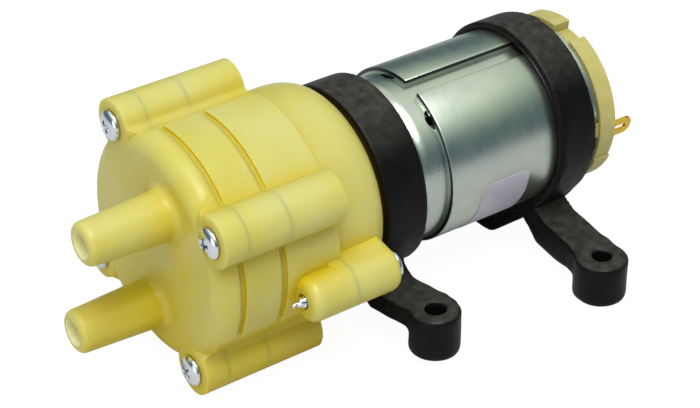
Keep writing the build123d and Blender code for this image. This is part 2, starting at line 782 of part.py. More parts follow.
def armature_windings():
    """One coil round the stem of each pole."""
    x0 = motor_face_x + CORE_START
    x1 = x0 + CORE_LENGTH
    inner = STEM_WIDTH / 2 + COIL_GAP
    low = CORE_HUB_R + COIL_GAP
    side = inner + COIL_SIDE
    high = math.sqrt((core_r - SHOE_WALL - COIL_GAP) ** 2 - side ** 2)
    coils = []
    for k in range(POLES):
        coil = bar(x0 - COIL_OVERHANG, x1 + COIL_OVERHANG, -side, side, low, high)
        coil = fillet(coil.edges().filter_by(Axis.Z), COIL_SIDE)
        coil -= bar(x0 - COIL_GAP, x1 + COIL_GAP, -inner, inner, low - CUT, high + CUT)
        coils.append(Rot(360 / POLES * k, 0, 0) * coil)
    return group(coils)


def commutator_hub():
    x0 = motor_face_x + COMMUTATOR_START
    return ring(x0 - COIL_GAP, x0 + COMMUTATOR_LENGTH + COIL_GAP, SHAFT_R, COMMUTATOR_R - SEGMENT_WALL)


def commutator_segments():
    x0 = motor_face_x + COMMUTATOR_START
    x1 = x0 + COMMUTATOR_LENGTH
    tube = ring(x0, x1, COMMUTATOR_R - SEGMENT_WALL, COMMUTATOR_R)
    gap = math.degrees(SEGMENT_GAP / COMMUTATOR_R)
    pieces = [tube & wedge(x0 - CUT, x1 + CUT, 360 / POLES * k, 360 / POLES - gap, 3 * COMMUTATOR_R)
              for k in range(POLES)]
    return group(pieces)


def brush_level():
    """Distance of the brush arms from the pump axis."""
    return COMMUTATOR_R + BRUSH_GAP + BRUSH_HEIGHT


def brush_arms():
    """Two leaf springs that carry the brushes, each bent up to its terminal."""
    x0 = motor_face_x + BRUSH_X - BRUSH_LENGTH / 2
    x1 = x0 + BRUSH_LENGTH
    riser_end = bell_plug_x - COIL_GAP
    outer = terminal_side - TERMINAL_SHEET / 2
    inner = outer - ARM_SHEET
    half = TERMINAL_WIDTH / 2
    level = brush_level()
    near = bar(x0, riser_end, -outer, -inner, -half, level + ARM_SHEET)
    near += bar(x0, x1, -outer, BRUSH_WIDTH / 2, level, level + ARM_SHEET)
    far = bar(x0, riser_end, inner, outer, -level - ARM_SHEET, half)
    far += bar(x0, x1, -BRUSH_WIDTH / 2, outer, -level - ARM_SHEET, -level)
    return group([near, far])


def carbon_brushes():
    x0 = motor_face_x + BRUSH_X - BRUSH_LENGTH / 2
    half = BRUSH_WIDTH / 2
    face = rod(x0 - CUT, x0 + BRUSH_LENGTH + CUT, COMMUTATOR_R + BRUSH_GAP)
    upper = bar(x0, x0 + BRUSH_LENGTH, -half, half, COMMUTATOR_R - SEGMENT_WALL, brush_level()) - face
    lower = bar(x0, x0 + BRUSH_LENGTH, -half, half, -brush_level(), SEGMENT_WALL - COMMUTATOR_R) - face
    return group([upper, lower])


def terminal(side):
    """A flat solder tab with a long eye."""
    x0 = motor_face_x + TERMINAL_START
    x1 = bell_rear_x + TERMINAL_REACH
    half = TERMINAL_WIDTH / 2
    blank = make_face(Polyline((x0, -half), (x1, -half), (x1, half), (x0, half), close=True))
    ends = [v for v in blank.vertices() if v.X > x1 - 0.01]
    blank = fillet(ends, TERMINAL_END_R)
    eye_x = x1 - (TERMINAL_WIDTH - 2 * TERMINAL_EYE_R) / 2 - TERMINAL_EYE_LENGTH / 2
    blank -= Pos(eye_x, 0) * SlotOverall(TERMINAL_EYE_LENGTH, 2 * TERMINAL_EYE_R)
    start = side * terminal_side + TERMINAL_SHEET / 2
    return extrude(Plane.XZ.offset(-start) * blank, amount=TERMINAL_SHEET)


def terminals():
    return group([terminal(-1), terminal(1)])


def end_bell():
    plug_r = can_inner_r - BELL_FIT
    body = rod(bell_plug_x, can_rear_x + CUT, plug_r)
    body += rod(can_rear_x, bell_rear_x, BELL_R)
    block = ring(can_rear_x, bell_rear_x, BELL_R - BELL_WALL, bell_block_r)
    for c in BELL_BLOCK_CLOCKS:
        body += block & wedge(can_rear_x - CUT, bell_rear_x + CUT, c, BELL_BLOCK_ANGLE, 2 * BELL_R)
    body -= rod(bell_floor_x, bell_rear_x + CUT, BELL_R - BELL_WALL)
    body += rod(rear_bush_x(), bell_rear_x + BELL_HUB_PROUD, BELL_HUB_R)
    notch = ring(can_rear_x, bell_rear_x + CUT, BELL_R - BELL_NOTCH_DEPTH, bell_block_r + CUT)
    body -= notch & wedge(can_rear_x, bell_rear_x + CUT, 0, BELL_NOTCH_ANGLE, 2 * BELL_R)
    for c in (KEY_CLOCK, -KEY_CLOCK):
        key = bar(bell_plug_x, can_rear_x, -KEY_WIDTH / 2 + BELL_FIT, KEY_WIDTH / 2 - BELL_FIT,
                  plug_r - CAN_WALL, CAN_R)
        body += Rot(c, 0, 0) * key
    body -= rod(rear_bush_x() - CUT, rear_bush_x() + REAR_BUSH_LENGTH, bush_r)
    half = TERMINAL_WIDTH / 2
    sheet = TERMINAL_SHEET / 2
    for y in (-terminal_side, terminal_side):
        body -= bar(bell_plug_x - CUT, bell_rear_x + CUT, y - sheet, y + sheet, -half, half)
    return body


# Rubber mounts

def leg_outline(outer_r, wall, side):
    """One leg in Y and Z about the axis: down off the band, then level out to its foot."""
    top = FOOT_HEIGHT - AXIS_HEIGHT
    bottom = top - LEG_THICK
    foot_y = FOOT_SPREAD / 2
    depth = (outer_r - wall / 2) / outer_r
    root_in = (LEG_ROOT_INNER, -math.sqrt(outer_r ** 2 - LEG_ROOT_INNER ** 2))
    root_out = (LEG_ROOT_OUTER, -math.sqrt(outer_r ** 2 - LEG_ROOT_OUTER ** 2))
    knee_in = (LEG_ROOT_INNER + LEG_SPLAY + (root_in[1] - bottom) / 2, bottom)
    knee_out = (LEG_ROOT_OUTER + LEG_SPLAY, top)
    points = [(root_in[0] * depth, root_in[1] * depth), root_in, knee_in, (foot_y, bottom), (foot_y, top),
              knee_out, root_out, (root_out[0] * depth, root_out[1] * depth)]
    points = [(side * y, z) for y, z in points]
    leg = make_face(Polyline(*points, close=True))
    bends = [v for v in leg.vertices() if min(math.dist((v.X, v.Y), points[i]) for i in (2, 5)) < 1e-3]
    return fillet(bends, KNEE_R)


def mount(x, width, wall, inner_r):
    """A rubber band with two legs, just behind the middle of the two drilled feet."""
    outer_r = inner_r + wall
    band_x = x + BAND_SHIFT
    section = Circle(outer_r)
    for side in (-1, 1):
        section += leg_outline(outer_r, wall, side)
    section -= Circle(inner_r)
    body = Pos(0, 0, AXIS_HEIGHT) * slab(section, band_x - width / 2, band_x + width / 2)
    foot = Cylinder(FOOT_R, FOOT_HEIGHT, align=(Align.CENTER, Align.CENTER, Align.MIN))
    foot = fillet(foot.edges().group_by(Axis.Z)[0], FOOT_EDGE)
    foot = fillet(foot.edges().group_by(Axis.Z)[-1], FOOT_TOP_EDGE)
    for side in (-1, 1):
        body += Pos(x, side * FOOT_SPREAD / 2, 0) * foot
    for side in (-1, 1):
        body -= Pos(x, side * FOOT_SPREAD / 2, FOOT_HEIGHT / 2) * Cylinder(FOOT_HOLE_R, FOOT_HEIGHT + CUT)
    return body


PUMP_PIECES = {
    "front_cover": front_cover,
    "cover_gasket": cover_gasket,
    "valve_plate": valve_plate,
    "inlet_valves": inlet_valves,
    "outlet_valve": outlet_valve,
    "diaphragm_frame": diaphragm_frame,
    "crank_housing": crank_housing,
    "cover_screws": cover_screws,
    "ear_screws": ear_screws,
    "motor_screws": motor_screws,
    "diaphragm": diaphragm,
    "wobble_plate": wobble_plate,
    "wobble_pin": wobble_pin,
    "eccentric_wheel": eccentric_wheel,
    "motor_can": motor_can,
    "flux_ring": flux_ring,
    "motor_label": motor_label,
    "magnets": magnets,
    "magnet_spring": magnet_spring,
    "front_bearing": lambda: bush(front_bush_x(), FRONT_BUSH_LENGTH),
    "rear_bearing": lambda: bush(rear_bush_x(), REAR_BUSH_LENGTH),
    "motor_shaft": motor_shaft,
    "thrust_washers": thrust_washers,
    "armature_core": armature_core,
    "armature_windings": armature_windings,
    "commutator_hub": commutator_hub,
    "commutator_segments": commutator_segments,
    "brush_arms": brush_arms,
    "carbon_brushes": carbon_brushes,
    "terminals": terminals,
    "end_bell": end_bell,
}

os.makedirs("parts", exist_ok=True)
for name, make in PUMP_PIECES.items():
    export_step(seat(make()), f"parts/{name}.step")
export_step(mount(front_band_x, FRONT_BAND_WIDTH, FRONT_BAND_WALL, CAN_R), "parts/front_mount.step")
export_step(mount(rear_band_x, REAR_BAND_WIDTH, REAR_BAND_WALL, flux_r), "parts/rear_mount.step")
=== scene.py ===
"""Looks of the miniature water pump: its finishes, soft rubber mounts, screws, label and studio."""

import json
import math

import bmesh
import bpy
from mathutils import Matrix, Vector, noise

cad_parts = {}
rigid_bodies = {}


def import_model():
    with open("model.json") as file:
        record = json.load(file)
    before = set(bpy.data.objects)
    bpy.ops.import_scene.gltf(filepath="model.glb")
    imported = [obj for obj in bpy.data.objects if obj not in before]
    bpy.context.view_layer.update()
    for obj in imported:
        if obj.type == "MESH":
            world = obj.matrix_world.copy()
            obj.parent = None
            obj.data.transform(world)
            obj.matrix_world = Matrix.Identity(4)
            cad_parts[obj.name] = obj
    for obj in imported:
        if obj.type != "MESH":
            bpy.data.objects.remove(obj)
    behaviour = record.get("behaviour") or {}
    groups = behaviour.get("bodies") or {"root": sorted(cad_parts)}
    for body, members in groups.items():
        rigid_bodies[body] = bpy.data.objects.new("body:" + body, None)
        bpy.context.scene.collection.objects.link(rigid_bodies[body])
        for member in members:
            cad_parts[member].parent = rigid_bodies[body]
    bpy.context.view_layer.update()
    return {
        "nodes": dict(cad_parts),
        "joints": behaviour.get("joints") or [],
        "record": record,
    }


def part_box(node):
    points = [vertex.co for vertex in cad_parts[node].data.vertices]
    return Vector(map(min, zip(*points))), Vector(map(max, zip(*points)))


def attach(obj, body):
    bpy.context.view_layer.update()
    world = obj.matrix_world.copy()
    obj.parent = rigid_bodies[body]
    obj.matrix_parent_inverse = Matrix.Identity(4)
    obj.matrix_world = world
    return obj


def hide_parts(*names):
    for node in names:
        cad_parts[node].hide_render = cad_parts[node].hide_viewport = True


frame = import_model()
nodes = frame["nodes"]
joints = {joint["name"]: joint for joint in frame["joints"]}
mounts = {mount["name"]: mount for mount in frame["record"]["mounts"]}
scene = bpy.context.scene

# Sizes of the solids, in metres like all others here
mm = 0.001
COVER_DEPTH = 4.1 * mm
axis_height = Vector(joints["rotor_spin"]["pos_m"]).z
cover_face_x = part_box("front_cover")[1][0] - COVER_DEPTH
can_r = (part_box("motor_can")[1][1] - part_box("motor_can")[0][1]) / 2
sheet_r = (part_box("flux_ring")[1][1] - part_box("flux_ring")[0][1]) / 2
sheet_front_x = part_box("flux_ring")[0][0]
foot_pitch = mounts["feet_bolts"]["dims"]["spacing_x_mm"] * mm
foot_spread = mounts["feet_bolts"]["dims"]["spacing_y_mm"] * mm
WELD = 0.001 * mm
BORE_FADE = (0.02 * mm, 0.12 * mm)
BORE_END_FADE = 1.5 * mm

# The camera, fitted to the photograph
CAMERA_TURN = math.radians(35.93)
CAMERA_RISE = math.radians(32.0)
CAMERA_DISTANCE = 341.5 * mm
CAMERA_TARGET_X = -17.4 * mm
CAMERA_LENS = 108.87
CAMERA_SHIFT = (0.0046, -0.0433)

# The studio
WORLD_ON_OBJECT = 0.45
WORLD_SEEN = 1.0
FLOOR_GREY = (0.60, 0.60, 0.60)
FLOOR_GLOW = 1.2
FLOOR_GLOW_SHARE = 0.8
SURROUND_R = 0.7
SURROUND_LOW = -0.02
SURROUND_HIGH = 1.15
SURROUND_DIM = (0.10, 0.15, 0.18)
SURROUND_BRIGHT = (1.05, 1.12, 0.90)
SURROUND_FADE = (0.33, 1.02)

# How far the feet stand from their level places, as along, inward and up, and how the legs run from band to
# foot: millimetres up at a distance in millimetres from the middle, on top and underneath
FRONT_GIVE = {
    "sag": Vector((1.0, 1.2, 0.95)) * mm,
    "foot_scale": 1.0,
    "far_top_wall": 0.0,
    "near_low_wall": 0.3 * mm,
    "heel": 0.0,
    "top": ((8, 0.0), (12, 0.15), (16.4, -0.1), (19.5, -0.4), (22, -0.15), (28, 0.0)),
    "under": ((5, 0.0), (8, 0.45), (12.7, 0.55), (17, 0.2), (20, 0.1), (24, 0.0)),
}
REAR_GIVE = {
    "sag": Vector((-0.8, -1.15, -0.8)) * mm,
    "foot_scale": 1.07,
    "far_top_wall": -0.45 * mm,
    "near_low_wall": -0.4 * mm,
    "heel": 1.0,
    "top": ((5, 0.0), (7, 0.4), (11, 0.65), (15, 0.35), (19.5, -0.1), (23, -0.1), (28, -0.1)),
    "under": ((2, 0.0), (4.5, -1.3), (7, -1.4), (10, -0.7), (16, -0.85), (20, -0.5), (24, 0.0)),
}
FLOOR_Z = REAR_GIVE["sag"].z
BAND_SHIFT = 0.5 * mm

# The zones of a mount, each as the start and the width of a step from 0 to 1
UNDER_BAND = (11.0 * mm, 3.0 * mm)
BAND_SKIN = (-1.4 * mm, 0.8 * mm)
BAND_WALL = (-1.6 * mm, 1.2 * mm)
LEG = (7.0 * mm, 4.0 * mm)
LEG_ROOT = 9.0 * mm
FAR_SIDE = (-0.1, 0.5)
TOP_SIDE = (-0.1, 0.4)
NEAR_LOW_SIDE = (0.0, 0.4)

# The feet: where their outside begins, where their swelling ends, and their worn rim
FOOT_ZONE = 6.0 * mm
FOOT_HOLE_ZONE = 2.4 * mm
SWELL_END = (4.6 * mm, 1.4 * mm)
RIM_OF_LEG = (1.5 * mm, 1.5 * mm)
RIM_ACROSS = (2.8 * mm, 1.6 * mm)
RIM_UP = (6.2 * mm, 1.6 * mm)
RIM_WEAR = 0.25 * mm

# The heel that is folded in under the rear band
HEEL_START = (4.0 * mm, 1.0 * mm)
HEEL_END = (11.5 * mm, 7.0 * mm)
HEEL_SKIN = (0.0, 1.6 * mm)
HEEL_SINK = (5.5 * mm, 4.0 * mm)
HEEL_IN = 9.3 * mm
HEEL_DOWN = 4.9 * mm

# The mounts' rough moulding
RUBBER_VOXEL = 0.34 * mm
BAND_UNEVEN = 0.04 * mm
LEG_UNEVEN = 0.07 * mm
UNEVEN_SIZE = 5.0 * mm
UNEVEN_SEED = 1
STEEPNESS = 1.6

# Screws: their heads as shares of height and radius, and the cross recess as shares of the head
HEAD_PROFILE = ((0.0, 0.93), (0.0, 0.985), (0.05, 1.0), (0.26, 1.0), (0.40, 0.975), (0.55, 0.91),
                (0.70, 0.80), (0.82, 0.66), (0.91, 0.50), (0.97, 0.32), (1.0, 0.12))
HEAD_RIM = 0.97
SHANK_R = 1.3 * mm
POINTED_SHANK = 0.8
THREAD_PITCH = 0.9 * mm
THREAD_DEPTH = 0.22 * mm
THREAD_START = 0.6 * mm
THREAD_ROWS = 8
POINT_LENGTH = 1.7 * mm
BLUNT_LENGTH = 0.5 * mm
POINT_LEFT, BLUNT_LEFT = 0.4, 0.7
RECESS_REACH, RECESS_WIDTH, RECESS_DEPTH = 0.60, 0.25, 0.8
RECESS_TAPER, RECESS_THINNING = 0.28, 0.7
RECESS_ABOVE = 0.5 * mm

# The can's drawn shoulder and the louvres pressed in beside its vents
SHOULDER_R = 2.6 * mm
SHOULDER_GAP = 2.8 * mm
SHOULDER_DROP = 0.9 * mm
SHOULDER_STEP = 0.22 * mm
SHOULDER_STEPS = 12
OUTER_SKIN = 1.0 * mm
VENT_CLOCKS = (25.0, 155.0, 205.0, 335.0)
VENT_HALF_ANGLE = 11.0
VENT_START = 1.1 * mm
VENT_SLIT = 0.275 * mm
VENT_SINK = 0.4 * mm
VENT_UNDER = 0.12 * mm
VENT_FLATTER_ENDS = 0.6
VENT_SHEET = 0.2 * mm

# The sheet's rolled edge and the painted shade on its edge faces, and the label
ROLLED_EDGE = 0.2 * mm
SHADED_EDGE_WIDTH = 0.72 * mm
EDGE_FADE = 0.1 * mm
EDGE_SKIN = 0.1 * mm
LABEL_CORNER = 1.1 * mm
LABEL_LIFT = 0.04 * mm
LABEL_FILM = 0.08 * mm
LABEL_WRINKLE = 0.03 * mm
WRINKLE_SIZE = 2.5 * mm
WRINKLES_ROUND = 4.0


class Surface:
    """A procedural material round one Principled shader. Its texture space is in millimetres."""

    def __init__(self, name, colour, roughness, metallic=0.0, **sockets):
        self.material = bpy.data.materials.new(name)
        self.material.use_nodes = True
        self.tree = self.material.node_tree
        self.shader = self.tree.nodes["Principled BSDF"]
        self.shader.inputs["Base Color"].default_value = (*colour, 1)
        self.shader.inputs["Roughness"].default_value = roughness
        self.shader.inputs["Metallic"].default_value = metallic
        for socket, value in sockets.items():
            self.shader.inputs[socket.replace("_", " ")].default_value = value
        self.material.diffuse_color = (*colour, 1)
        texture_space = self.node("ShaderNodeTexCoord")
        self.place = texture_space.outputs["Object"]
        self.face_normal = texture_space.outputs["Normal"]
        self.normal = None

    def node(self, kind, **settings):
        made = self.tree.nodes.new(kind)
        for key, value in settings.items():
            setattr(made, key, value)
        return made

    def link(self, source, target):
        self.tree.links.new(source, target)

    def mapped(self, scale, offset=(0.0, 0.0, 0.0)):
        """Texture coordinates, scaled per millimetre."""
        mapping = self.node("ShaderNodeMapping")
        self.link(self.place, mapping.inputs["Vector"])
        mapping.inputs["Scale"].default_value = [1000 * s for s in scale]
        mapping.inputs["Location"].default_value = offset
        return mapping.outputs["Vector"]

    def noise(self, scale, detail=3.0, rough=0.5, offset=(0.0, 0.0, 0.0)):
        """A noise value between 0 and 1. scale is in cells per millimetre, one number or one per axis."""
        scale = scale if isinstance(scale, tuple) else (scale,) * 3
        texture = self.node("ShaderNodeTexNoise")
        self.link(self.mapped(scale, offset=offset), texture.inputs["Vector"])
        texture.inputs["Scale"].default_value = 1.0
        texture.inputs["Detail"].default_value = detail
        texture.inputs["Roughness"].default_value = rough
        return texture.outputs["Fac"]

    def spots(self, scale, size):
        """Small round marks: 1 inside a mark, 0 outside. size is a share of a cell."""
        texture = self.node("ShaderNodeTexVoronoi", feature="F1")
        self.link(self.mapped((scale,) * 3), texture.inputs["Vector"])
        texture.inputs["Scale"].default_value = 1.0
        return self.ramp(texture.outputs["Distance"], size, size * 0.6)

    def ramp(self, value, low, high, to_low=0.0, to_high=1.0):
        """A value stretched from low..high to to_low..to_high, and held at the ends."""
        made = self.node("ShaderNodeMapRange")
        self.link(value, made.inputs["Value"])
        for key, number in (("From Min", low), ("From Max", high), ("To Min", to_low), ("To Max", to_high)):
            made.inputs[key].default_value = number
        return made.outputs["Result"]

    def times(self, first, second):
        """Two values multiplied; each is a number or the output of another node."""
        made = self.node("ShaderNodeMath", operation="MULTIPLY")
        for socket, value in zip(made.inputs, (first, second)):
            if isinstance(value, (int, float)):
                socket.default_value = value
            else:
                self.link(value, socket)
        return made.outputs[0]

    def mix(self, factor, first, second):
        """A colour between two colours; each is a colour or the output of another mix."""
        made = self.node("ShaderNodeMix", data_type="RGBA")
        self.link(factor, made.inputs["Factor"])
        for socket, value in ((made.inputs[6], first), (made.inputs[7], second)):
            if isinstance(value, tuple):
                socket.default_value = (*value, 1)
            else:
                self.link(value, socket)
        return made.outputs[2]

    def hollow(self, reach, open_from=0.95, closed_at=0.35):
        """1 in corners and grooves, 0 on open faces, by how closed in a point is."""
        made = self.node("ShaderNodeAmbientOcclusion", samples=6)
        made.inputs["Distance"].default_value = reach * mm
        return self.ramp(made.outputs["AO"], open_from, closed_at)

    def vector_math(self, operation, first, second=None):
        """The result of a vector operation; each input is a fixed vector or the output of another node."""
        made = self.node("ShaderNodeVectorMath", operation=operation)
        for socket, value in zip(made.inputs, (first, second)):
            if isinstance(value, tuple):
                socket.default_value = value
            elif value is not None:
                self.link(value, socket)
        return made.outputs["Value" if operation in ("DOT_PRODUCT", "LENGTH") else "Vector"]

    def spoke(self, y=0.0, z=None):
        """The vector to a point from a line along X; the pump axis unless y and z say another."""
        centre = (0.0, y, axis_height if z is None else z)
        return self.vector_math("MULTIPLY", self.vector_math("SUBTRACT", self.place, centre), (0.0, 1.0, 1.0))

    def side_faces(self):
        """1 where a face round the pump axis looks along or sideways, 0 where it looks outward or inward."""
        spoke = self.vector_math("NORMALIZE", self.spoke())
        outward = self.vector_math("DOT_PRODUCT", spoke, self.face_normal)
        made = self.node("ShaderNodeMath", operation="ABSOLUTE")
        self.link(outward, made.inputs[0])
        return self.ramp(made.outputs[0], 0.8, 0.4)

    def outer_half(self):
        """1 on the outer half of the sheet round the motor can, 0 inside it."""
        radius = self.vector_math("LENGTH", self.spoke())
        return self.ramp(radius, sheet_r - SHADED_EDGE_WIDTH, sheet_r - SHADED_EDGE_WIDTH + EDGE_FADE)

    def bore(self, mount):
        """1 on the wall and floor of a port's bore, 0 elsewhere."""
        _, y, z = mounts[mount]["pos_m"]
        wall_r = mounts[mount]["dims"]["r_mm"] * mm
        radius = self.vector_math("LENGTH", self.spoke(y, z))
        inside = self.ramp(radius, wall_r + BORE_FADE[1], wall_r + BORE_FADE[0])
        split = self.node("ShaderNodeSeparateXYZ")
        self.link(self.place, split.inputs[0])
        return self.times(inside, self.ramp(split.outputs[0], cover_face_x + BORE_END_FADE, cover_face_x))

    def edges(self):
        """1 on sharp edges, 0 on faces, where soften has rounded the shading."""
        geometry = self.node("ShaderNodeNewGeometry")
        level = self.vector_math("DOT_PRODUCT", self.rounded, geometry.outputs["Normal"])
        return self.ramp(level, 0.995, 0.90)

    def upward(self):
        """1 on faces that look up, 0 on upright and lower ones."""
        return self.ramp(self.vector_math("DOT_PRODUCT", self.face_normal, (0.0, 0.0, 1.0)), 0.6, 1.0)

    def colour(self, output):
        self.link(output, self.shader.inputs["Base Color"])

    def roughness(self, output):
        self.link(output, self.shader.inputs["Roughness"])

    def soften(self, radius):
        """Rounds sharp edges in the shading."""
        made = self.node("ShaderNodeBevel", samples=6)
        made.inputs["Radius"].default_value = radius * mm
        self.normal = self.rounded = made.outputs["Normal"]
        self.link(self.normal, self.shader.inputs["Normal"])

    def bump(self, height, depth, strength=1.0):
        """Adds relief. depth is in millimetres."""
        made = self.node("ShaderNodeBump")
        made.inputs["Strength"].default_value = strength
        made.inputs["Distance"].default_value = depth * mm
        self.link(height, made.inputs["Height"])
        if self.normal is not None:
            self.link(self.normal, made.inputs["Normal"])
        self.normal = made.outputs["Normal"]
        self.link(self.normal, self.shader.inputs["Normal"])


def nylon():
    """Natural moulded nylon: cream with warmer clouds, a painted highlight on its edges, painted yellow shade
    in its wide hollows and crevices, painted light inside the port bores, and a few dark specks.
    """
    pale, warm = (0.57, 0.55, 0.185), (0.56, 0.51, 0.10)
    yellow_valley_shade, crevice_shade = (0.58, 0.45, 0.010), (0.68, 0.51, 0.01)
    worn, painted_bore_light, brown = (0.74, 0.72, 0.40), (0.92, 0.88, 0.50), (0.24, 0.16, 0.05)
    s = Surface("nylon_natural", pale, 0.36, Subsurface_Weight=0.5, Subsurface_Scale=3.0 * mm,
                Specular_IOR_Level=0.32)
    s.shader.inputs["Subsurface Radius"].default_value = (1.0, 0.75, 0.10)
    s.soften(0.07)
    clouds = s.mix(s.ramp(s.noise(0.09, 2.0), 0.35, 0.68), pale, warm)
    # worn is a painted highlight: the edges are made paler where light catches them
    edge_highlighted = s.mix(s.times(s.edges(), 0.6), clouds, worn)
    # Painted shade: wide hollows between bosses and ports turn a saturated yellow
    valley_shaded = s.mix(s.hollow(22.0, 0.96, 0.56), edge_highlighted, yellow_valley_shade)
    # Painted shade: narrow grooves and crevices turn a deeper, more saturated yellow
    closed = s.mix(s.times(s.hollow(1.8), 0.7), valley_shaded, crevice_shade)
    specks = s.times(s.spots(0.55, 0.06), s.ramp(s.noise(0.2, offset=(3.0, 1.0, 7.0)), 0.52, 0.6))
    marked = s.mix(specks, closed, brown)
    # Painted light: the walls and floor of the port bores are made pale, as if lit through the thin nylon
    for port in ("inlet_port", "outlet_port"):
        marked = s.mix(s.bore(port), marked, painted_bore_light)
    s.colour(marked)
    s.roughness(s.ramp(s.noise(0.35, 4.0), 0.3, 0.7, 0.28, 0.44))
    s.bump(s.noise(0.22, 2.0, 0.4), 0.12, 0.35)
    s.bump(s.noise(4.0, 3.0), 0.01, 0.5)
    return s.material


def bell_nylon():
    """The drier moulding of the motor's end bell, with a painted highlight on its edges and painted shade in
    its hollows.
    """
    pale, dry_patch = (0.52, 0.48, 0.17), (0.48, 0.43, 0.13)
    worn, shade = (0.62, 0.60, 0.34), (0.42, 0.34, 0.09)
    s = Surface("bell_nylon", pale, 0.50, Subsurface_Weight=0.25, Subsurface_Scale=1.2 * mm,
                Specular_IOR_Level=0.35)
    s.soften(0.12)
    dry = s.mix(s.ramp(s.noise(0.5, 4.0), 0.35, 0.7), pale, dry_patch)
    # worn is a painted highlight: the edges are made paler where light catches them
    edge_highlighted = s.mix(s.times(s.edges(), 0.6), dry, worn)
    s.colour(s.mix(s.hollow(1.5), edge_highlighted, shade))
    s.bump(s.noise(5.0, 3.0), 0.02, 0.6)
    return s.material


def zinc_steel(name, with_edge_shade=False):
    """Zinc-plated drawn steel: a fine grain round the can, soft stains, a few bright nicks, and for the sheet
    painted shade on the outer part of its edge faces.
    """
    cool, green = (0.50, 0.56, 0.53), (0.57, 0.64, 0.52)
    scratched, painted_edge_shade = (0.86, 0.88, 0.84), (0.07, 0.08, 0.085)
    s = Surface(name, cool, 0.30, 1.0)
    s.soften(0.08)
    stained = s.mix(s.ramp(s.noise(0.10, 3.0, 0.6), 0.35, 0.7), cool, green)
    nicks = s.times(s.spots(0.35, 0.06), s.ramp(s.noise(0.3, offset=(5.0, 5.0, 1.0)), 0.5, 0.58))
    finish = s.mix(nicks, stained, scratched)
    if with_edge_shade:
        # Painted shade: the outer part of the sheet's edge faces is made near black
        finish = s.mix(s.times(s.side_faces(), s.outer_half()), finish, painted_edge_shade)
    s.colour(finish)
    s.roughness(s.ramp(s.noise((0.9, 0.25, 0.25), 5.0, 0.7), 0.3, 0.75, 0.26, 0.36))
    s.bump(s.noise((3.0, 0.5, 0.5), 4.0, 0.7), 0.004, 0.45)
    s.bump(s.noise(7.0, 2.0), 0.003, 0.4)
    return s.material


def mount_rubber():
    """Soft black rubber with a dull sheen, a lighter tone on its upper faces that is partly dusty and partly
    painted light from above, and pale specks.
    """
    black, bloom = (0.0032, 0.0032, 0.0036), (0.010, 0.0095, 0.009)
    brownish, dust_and_top_light, lint = (0.020, 0.012, 0.004), (0.052, 0.051, 0.042), (0.16, 0.155, 0.14)
    s = Surface("mount_rubber", black, 0.45, Specular_IOR_Level=0.13)
    bloomed = s.mix(s.ramp(s.noise(0.25, 5.0, 0.65), 0.5, 0.8), black, bloom)
    handled = s.mix(s.times(s.hollow(2.0), 0.6), bloomed, brownish)
    # Upward faces are made lighter: partly a dusty film, partly painted light from above
    dusted_and_top_lit = s.mix(s.times(s.upward(), s.ramp(s.noise(0.6, 4.0), 0.3, 0.7, 0.3, 1.0)), handled, dust_and_top_light)
    specks = s.times(s.spots(0.9, 0.07), s.ramp(s.noise(0.3, offset=(2.0, 8.0, 4.0)), 0.5, 0.6))
    s.colour(s.mix(specks, dusted_and_top_lit, lint))
    s.roughness(s.ramp(s.noise(0.4, 5.0, 0.7), 0.3, 0.75, 0.34, 0.52))
    s.bump(s.noise(0.5, 3.0, 0.5), 0.08, 0.4)
    s.bump(s.noise(6.0, 3.0), 0.012, 0.6)
    return s.material


def screw_steel():
    """Bright blue-white zinc on the screws, with painted shade in their recesses and corners."""
    bright, dark = (0.78, 0.83, 0.88), (0.16, 0.17, 0.20)
    s = Surface("screw_steel", bright, 0.16, 1.0)
    s.soften(0.05)
    # Painted shade: the cross recess, the thread and the corner under the head are made dark
    s.colour(s.mix(s.hollow(0.5), bright, dark))
    s.roughness(s.ramp(s.noise(1.5, 4.0), 0.3, 0.7, 0.10, 0.26))
    s.bump(s.noise(3.0, 3.0), 0.015, 0.4)
    return s.material


def tab_brass():
    """Yellow brass sheet with a dull rolled grain."""
    gold, dull = (0.84, 0.60, 0.06), (0.74, 0.50, 0.05)
    s = Surface("tab_brass", gold, 0.30, 1.0)
    s.soften(0.06)
    s.colour(s.mix(s.ramp(s.noise(0.9, 4.0), 0.35, 0.7), gold, dull))
    s.bump(s.noise((1.0, 6.0, 6.0), 3.0), 0.01, 0.4)
    return s.material


def label_paper():
    """Plain silvery label film."""
    film, lighter = (0.50, 0.48, 0.56), (0.56, 0.54, 0.60)
    s = Surface("label_film", film, 0.35, 0.15)
    s.colour(s.mix(s.ramp(s.noise(0.6, 3.0), 0.3, 0.7), film, lighter))
    s.bump(s.noise(1.2, 3.0), 0.02, 0.3)
    return s.material


def simple(name, colour, other, roughness, metallic=0.0, grain=2.0, depth=0.01):
    """A finish for an inner piece: two close colours and a fine grain."""
    s = Surface(name, colour, roughness, metallic)
    s.soften(0.06)
    s.colour(s.mix(s.ramp(s.noise(grain / 4, 4.0), 0.35, 0.68), colour, other))
    s.roughness(s.ramp(s.noise(grain, 3.0), 0.3, 0.7, roughness * 0.85, min(1.0, roughness * 1.2)))
    s.bump(s.noise(grain, 3.0), depth, 0.5)
    return s.material


